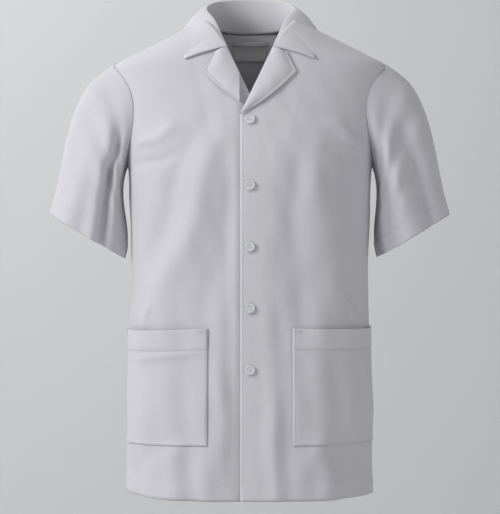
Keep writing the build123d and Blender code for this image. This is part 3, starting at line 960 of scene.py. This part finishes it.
def build_back(shape):
    columns = 2 * shape.columns
    tops = []
    for i in range(columns):
        angle = math.pi * i / (columns - 1)
        low, high = -0.30, -0.001
        for _ in range(26):
            middle = (low + high) / 2
            if middle < back_neck_z(form_point(angle, middle).x):
                low = middle
            else:
                high = middle
        tops.append(low)

    def place(u, v):
        angle = math.pi * u
        bottom = hem_height(angle)
        z = mix(bottom, tops[round(u * (columns - 1))], v**0.92)
        point = form_point(angle, z)
        return point + form_normal(angle, z) * (drape(point) + hem_step(z, bottom, 0.025))

    piece = grid_piece("back_panel_cloth", columns, shape.rows, place, MATERIALS["cloth"])
    close_armhole(piece)
    face_outwards(piece, axis_point)
    # painted light where the back neck facing lies behind the back
    paint(piece, lambda point: smooth(-0.0625, -0.0605, point.z) * smooth(0.10, 0.095, abs(point.x)))
    thicken(piece)
    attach(piece, "root")
    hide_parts("back_panel")


def on_back(x, z, out=0.0):
    share = clamp(abs(x) / softened(WIDTHS, z))
    angle = math.acos(math.copysign(share ** (SQUARENESS / 2), x))
    point = form_point(angle, z)
    return point + form_normal(angle, z) * (out + drape(point))


def build_neck_facing():
    def place(u, v):
        x = mix(-0.088, 0.088, u)
        top = back_neck_z(x) - 0.001 if abs(x) < NECK_SIDE else -0.008 - 0.45 * (abs(x) - NECK_SIDE)
        bottom = -0.061 + 0.016 * (abs(x) / 0.088) ** 2
        return on_back(x, mix(bottom, top, v), -0.0019)

    piece = grid_piece("back_neck_facing_cloth", 60, 16, place, MATERIALS["inside"])
    face_outwards(piece, axis_point)
    thicken(piece, 0.0007)
    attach(piece, "root")
    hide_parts("back_neck_facing")


# ---- pockets -----------------------------------------------------------------------------------------------
POCKET_INNER = 0.067
POCKET_TOP, POCKET_BOTTOM = -0.504, -0.690
POCKET_HEM = 0.033


def pocket_point(u, v, side, gape, lift=0.0):
    """u runs from the inner edge to the side, and v from the bottom to the mouth."""
    sag = 0.003 * math.sin(math.pi * u) * v
    z = mix(POCKET_BOTTOM, POCKET_TOP, v) - sag - (0.004 * u if side < 0 else -0.001 * u)
    angle = mix(front_angle(POCKET_INNER, z), -0.075, u)
    base = form_point(angle, z)
    mirrored = Vector((base.x * side, base.y, z))
    mouth = smooth(0.62, 1.0, v)
    belly = math.sin(math.pi * clamp(u)) ** 0.8
    out = 0.0013 + 0.0022 * belly * smooth(0.0, 0.3, v) + gape * belly * mouth
    out += 0.0012 * math.sin(9 * u + 2) * mouth * belly
    if side > 0:
        bend = u - mix(0.62, 0.80, smooth(0.8, 0.2, v))
        out += 0.0045 * math.exp(-((bend / 0.07) ** 2)) * smooth(0.02, 0.4, v) * smooth(1.0, 0.7, v)
    else:
        bend = v - mix(0.80, 0.72, u)
        out += 0.0022 * math.exp(-((bend / 0.035) ** 2)) * smooth(0.0, 0.2, u) * smooth(0.75, 0.4, u)
    depth = (1 - v) * (POCKET_TOP - POCKET_BOTTOM)
    out += 0.0007 * smooth(POCKET_HEM + 0.001, POCKET_HEM - 0.002, depth)
    out -= 0.0007 * math.exp(-(((depth - POCKET_HEM) / 0.0018) ** 2))
    rim = min(u * 0.13, v * 0.186)
    out += 0.0004 * smooth(0.007, 0.004, rim)
    point = base + form_normal(angle, z) * (out + drape(mirrored) + lift)
    return Vector((point.x * side, point.y, point.z))


def build_pocket(side, coat):
    word = "left" if side > 0 else "right"
    gape = coat.pocket_gape * (0.8 if side > 0 else 1.0)
    piece = grid_piece(
        f"{word}_pocket_cloth",
        70,
        90,
        lambda u, v: pocket_point(u, v, side, gape),
        MATERIALS["cloth"],
    )
    face_outwards(piece, axis_point)
    # painted light on the pocket, stronger on its turned-down hem
    paint(piece, lambda point: 0.75 if point.z > POCKET_TOP - POCKET_HEM else 0.35)
    thicken(piece)
    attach(piece, "root")
    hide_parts(f"{word}_pocket")
    edge = 0.016
    lines = [
        [pocket_point(edge, v / 40, side, gape, 0.0006) for v in range(1, 40)],
        [pocket_point(mix(edge, 1 - edge, u / 34), 0.011, side, gape, 0.0006) for u in range(35)],
        [pocket_point(1 - edge, v / 40, side, gape, 0.0006) for v in range(1, 40)],
        [pocket_point(mix(edge, 1 - edge, u / 34), 1 - POCKET_HEM / 0.186, side, gape, 0.0009) for u in range(35)],
    ]
    stitches = stitch_lines(f"{word}_pocket_stitches", lines)
    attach(stitches, "root")


def build_tacks(coat):
    lines = []
    for side in (-1, 1):
        gape = coat.pocket_gape
        for u0, u1 in ((0.012, 0.055), (0.945, 0.988)):
            line = []
            for i in range(25):
                u = u0 if i % 2 else u1
                line.append(pocket_point(u, mix(0.992, 0.972, i / 24), side, gape, 0.0007))
            lines.append(line)
    piece = stitch_lines("pocket_tack_stitches", lines, radius=0.00022, length=0.0016, pitch=0.0016)
    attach(piece, "root")
    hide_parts("pocket_tacks")


# ---- buttonholes, loop and labels --------------------------------------------------------------------------
def build_buttonholes():
    """Zigzag stitches round each slit, which runs along the front edge behind its button."""
    lines = []
    for number in range(1, BUTTONS + 1):
        low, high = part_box(f"button_{number}")
        middle = (low[2] + high[2]) / 2 - 0.0015
        half = 0.0092
        line = []
        for i in range(121):
            turn = 2 * math.pi * i / 120
            radius = 0.0021 if i % 2 else 0.0034
            x = radius * math.cos(turn)
            z = middle + half * math.copysign(min(1.0, abs(math.sin(turn)) * 1.35), math.sin(turn))
            line.append(on_front(x, z + radius * 0.4 * math.sin(turn), 0.0005))
        lines.append(line)
    piece = stitch_lines("buttonhole_stitches", lines, radius=0.0002, length=0.0011, pitch=0.0010)
    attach(piece, "root")
    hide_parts("buttonhole_stitching")


def build_loop():
    low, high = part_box("hanger_loop")

    def place(u, v):
        x = mix(low[0], high[0], u)
        swing = math.sin(math.pi * u) ** 0.8
        y = mix(high[1] - 0.0008, low[1] + 0.0012, swing)
        return Vector((x, y, mix(low[2], high[2], v) - 0.003 * swing))

    piece = grid_piece("hanger_loop_tape", 40, 6, place, MATERIALS["tape"])
    thicken(piece, 0.0009)
    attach(piece, "root")
    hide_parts("hanger_loop")


def build_label(node, place):
    piece = grid_piece(f"{node}_tape", 14, 10, place, MATERIALS["label"])
    face_outwards(piece, lambda point: 2 * point - axis_point(point))
    thicken(piece, 0.0004)
    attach(piece, "root")
    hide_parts(node)


def neck_label_point(u, v):
    low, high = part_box("neck_label")
    return on_back(mix(low[0], high[0], u), mix(low[2], high[2], v), -0.0032)


def care_label_point(u, v):
    low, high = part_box("care_label")
    y = mix(low[1] + 0.001, high[1], u)
    z = mix(low[2], high[2], v)
    return Vector((side_x(y, z) - 0.0035, y, z))


def edge_stitches():
    """The front edge and the hem."""
    lines = []
    step = 0.006
    count = round((V_Z - 0.034 - HEM_Z) / step)
    lines.append([on_front(-FRONT_EDGE + 0.004, HEM_Z + 0.006 + step * i, 0.0004) for i in range(count)])
    hem = []
    for i in range(361):
        angle = 2 * math.pi * i / 360 - math.pi / 2
        z = hem_height(angle) + 0.025
        point = form_point(angle, z)
        lift = 0.0002 + drape(point)
        hem.append(point + form_normal(angle, z) * lift)
    lines.append(hem)
    piece = stitch_lines("edge_stitches", lines)
    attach(piece, "root")


def finish_buttons():
    for number in range(1, BUTTONS + 1):
        for node, material in ((f"button_{number}", "button"), (f"button_{number}_thread", "thread")):
            data = bpy.data.objects[node].data
            data.materials.clear()
            data.materials.append(MATERIALS[material])


# ---- stage -------------------------------------------------------------------------------------------------
class StageLook(bpy.types.PropertyGroup):
    """The camera's distance and height, and the lights' strength."""

    distance: FloatProperty(name="Distance", description="From the camera to the coat", default=3.0, unit="LENGTH")
    height: FloatProperty(name="Height", description="Of the camera", default=-0.391, unit="LENGTH")
    view_height: FloatProperty(
        name="View height", description="How much of the coat the frame holds", default=0.848, unit="LENGTH"
    )
    key: FloatProperty(name="Key", description="Strength of the key light", default=62.0)
    fill: FloatProperty(name="Fill", description="Strength of the fill light", default=16.0)


def plain_material(name, colour):
    shader = Shader(name)
    grain = shader.noise(3.0, 3.0)
    light = tuple(c * 1.02 for c in colour)
    return shader.finish(Base_Color=shader.ramp(grain, colour, light), Roughness=0.9)


def plane(name, corners, material):
    piece = new_piece(name, corners, [(0, 1, 2, 3)], material, smooth_shading=False)
    return piece


def area_light(name, place, target, power, size):
    data = bpy.data.lights.new(name, "AREA")
    data.energy = power
    data.size = size
    light = bpy.data.objects.new(name, data)
    light.location = place
    light.rotation_euler = (Vector(target) - Vector(place)).to_track_quat("-Z", "Y").to_euler()
    bpy.context.scene.collection.objects.link(light)


def build_stage(look):
    pale = plain_material("pale_wall", (0.66, 0.665, 0.67))
    plane("floor", [(-4, -4, -1.25), (4, -4, -1.25), (4, 1.5, -1.25), (-4, 1.5, -1.25)], pale)
    plane("wall", [(-4, 1.5, -1.25), (4, 1.5, -1.25), (4, 1.5, 3), (-4, 1.5, 3)], pale)
    area_light("key", (-2.3, -1.5, 0.9), (0, 0, -0.3), look.key, 1.3)
    area_light("fill", (2.4, -2.2, 0.0), (0, 0, -0.4), look.fill, 2.2)
    area_light("wall_light", (-1.2, 0.5, 1.7), (-0.4, 1.5, -0.1), look.fill, 1.5)
    world = bpy.data.worlds.new("studio")
    world.use_nodes = True
    world.node_tree.nodes["Background"].inputs["Color"].default_value = (0.86, 0.87, 0.89, 1)
    world.node_tree.nodes["Background"].inputs["Strength"].default_value = 0.40
    bpy.context.scene.world = world
    data = bpy.data.cameras.new("camera")
    data.sensor_fit = "VERTICAL"
    data.sensor_height = 24.0
    data.lens = 24.0 * look.distance / look.view_height
    camera = bpy.data.objects.new("camera", data)
    camera.location = (0, -look.distance, look.height)
    camera.rotation_euler = (math.pi / 2, 0, 0)
    bpy.context.scene.collection.objects.link(camera)
    bpy.context.scene.camera = camera
    bpy.context.scene.view_settings.view_transform = "Standard"


# ---- operators ---------------------------------------------------------------------------------------------
class COAT_OT_panels(bpy.types.Operator):
    """Adds the back, the fronts and their facings."""

    bl_idname = "coat.panels"
    bl_label = "Body panels"

    def execute(self, context):
        shape = context.scene.coat_shape
        build_back(shape)
        build_neck_facing()
        for side in (1, -1):
            build_front(side, shape)
            build_facing(side, shape)
        edge_stitches()
        return {"FINISHED"}


class COAT_OT_sleeves(bpy.types.Operator):
    """Adds the sleeves and their stitched hems."""

    bl_idname = "coat.sleeves"
    bl_label = "Sleeves"

    def execute(self, context):
        for side in (1, -1):
            build_sleeve(side, context.scene.sleeve_shape)
            sleeve_hem_stitches(side)
        return {"FINISHED"}


class COAT_OT_collar(bpy.types.Operator):
    """Adds the collar and both lapels."""

    bl_idname = "coat.collar"
    bl_label = "Collar and lapels"

    def execute(self, context):
        build_collar(context.scene.collar_shape)
        for side in (1, -1):
            build_lapel(side, context.scene.collar_shape, context.scene.coat_shape)
        return {"FINISHED"}


class COAT_OT_pockets(bpy.types.Operator):
    """Adds the hip pockets and the tacks at their mouths."""

    bl_idname = "coat.pockets"
    bl_label = "Pockets"

    def execute(self, context):
        for side in (1, -1):
            build_pocket(side, context.scene.coat_shape)
        build_tacks(context.scene.coat_shape)
        return {"FINISHED"}


class COAT_OT_fastenings(bpy.types.Operator):
    """Stitches the buttonholes and finishes the buttons."""

    bl_idname = "coat.fastenings"
    bl_label = "Buttons and buttonholes"

    def execute(self, context):
        build_buttonholes()
        finish_buttons()
        return {"FINISHED"}


class COAT_OT_trimmings(bpy.types.Operator):
    """Adds the hanger loop and the blank labels."""

    bl_idname = "coat.trimmings"
    bl_label = "Loop and labels"

    def execute(self, context):
        build_loop()
        build_label("neck_label", neck_label_point)
        build_label("care_label", care_label_point)
        return {"FINISHED"}


class COAT_OT_stage(bpy.types.Operator):
    """Adds the floor, the wall, the lights and the camera."""

    bl_idname = "coat.stage"
    bl_label = "Stage"

    def execute(self, context):
        build_stage(context.scene.stage_look)
        return {"FINISHED"}


OPERATORS = (
    COAT_OT_stage,
    COAT_OT_panels,
    COAT_OT_sleeves,
    COAT_OT_collar,
    COAT_OT_pockets,
    COAT_OT_fastenings,
    COAT_OT_trimmings,
)
SETTINGS = {
    "coat_shape": CoatShape,
    "sleeve_shape": SleeveShape,
    "collar_shape": CollarShape,
    "stage_look": StageLook,
}


class COAT_PT_panel(bpy.types.Panel):
    """Buttons for every part of the coat."""

    bl_idname = "COAT_PT_panel"
    bl_label = "Lab coat"
    bl_space_type = "VIEW_3D"
    bl_region_type = "UI"
    bl_category = "Lab coat"

    def draw(self, context):
        for name, group in SETTINGS.items():
            for key in group.__annotations__:
                self.layout.prop(getattr(context.scene, name), key)
        for operator in OPERATORS:
            self.layout.operator(operator.bl_idname)


def register():
    for group in SETTINGS.values():
        bpy.utils.register_class(group)
    for operator in OPERATORS:
        bpy.utils.register_class(operator)
    bpy.utils.register_class(COAT_PT_panel)
    for name, group in SETTINGS.items():
        setattr(bpy.types.Scene, name, PointerProperty(type=group))


def unregister():
    for name in SETTINGS:
        delattr(bpy.types.Scene, name)
    bpy.utils.unregister_class(COAT_PT_panel)
    for kind in (*reversed(OPERATORS), *SETTINGS.values()):
        bpy.utils.unregister_class(kind)


def main():
    register()
    for operator in OPERATORS:
        category, name = operator.bl_idname.split(".")
        getattr(getattr(bpy.ops, category), name)()


if __name__ == "__main__":
    main()
